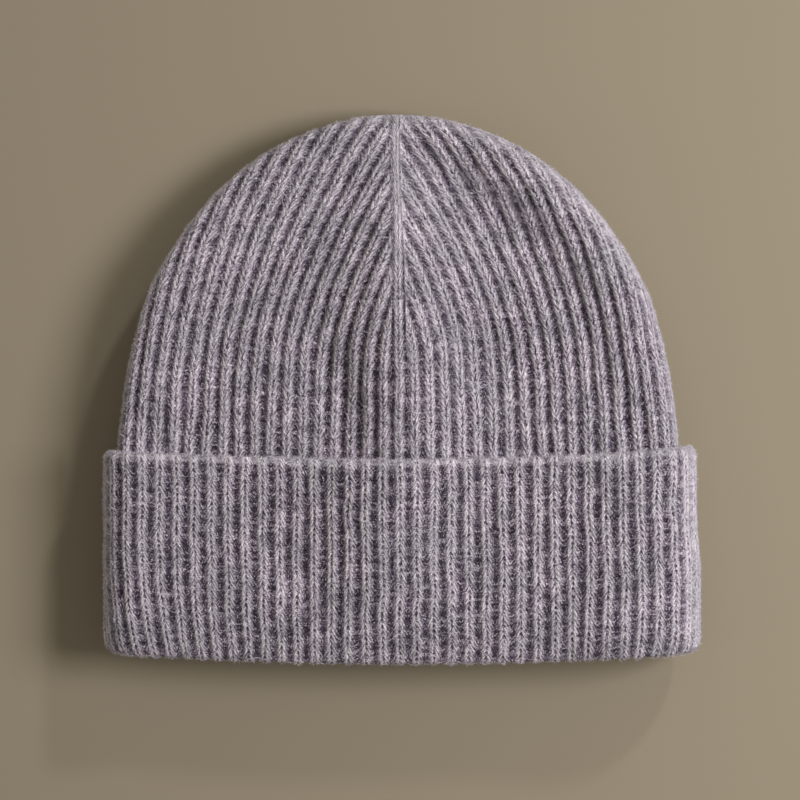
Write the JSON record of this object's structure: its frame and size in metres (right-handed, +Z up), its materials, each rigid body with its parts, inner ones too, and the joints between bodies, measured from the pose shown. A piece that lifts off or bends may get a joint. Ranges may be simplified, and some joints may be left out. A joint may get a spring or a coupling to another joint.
{
  "type": "ribbed knit beanie",
  "caption": "Ribbed wool beanie with a rounded crown and a turned-up cuff, lying flat on its back, hollow and open at the cuff for a head.",
  "frame": {"origin": "on the surface the hat lies on, under the middle of its outline", "axes": "+X across the hat, +Y from the fold of the cuff to the tip, +Z up from the surface, out of the front"},
  "size_m": [0.22, 0.203, 0.035],
  "materials": {
    "marled_wool": "soft mauve-grey marled wool rib"
  },
  "bodies": {
    "root": {"crown": "marled_wool", "cuff": "marled_wool"}
  },
  "joints": []
}
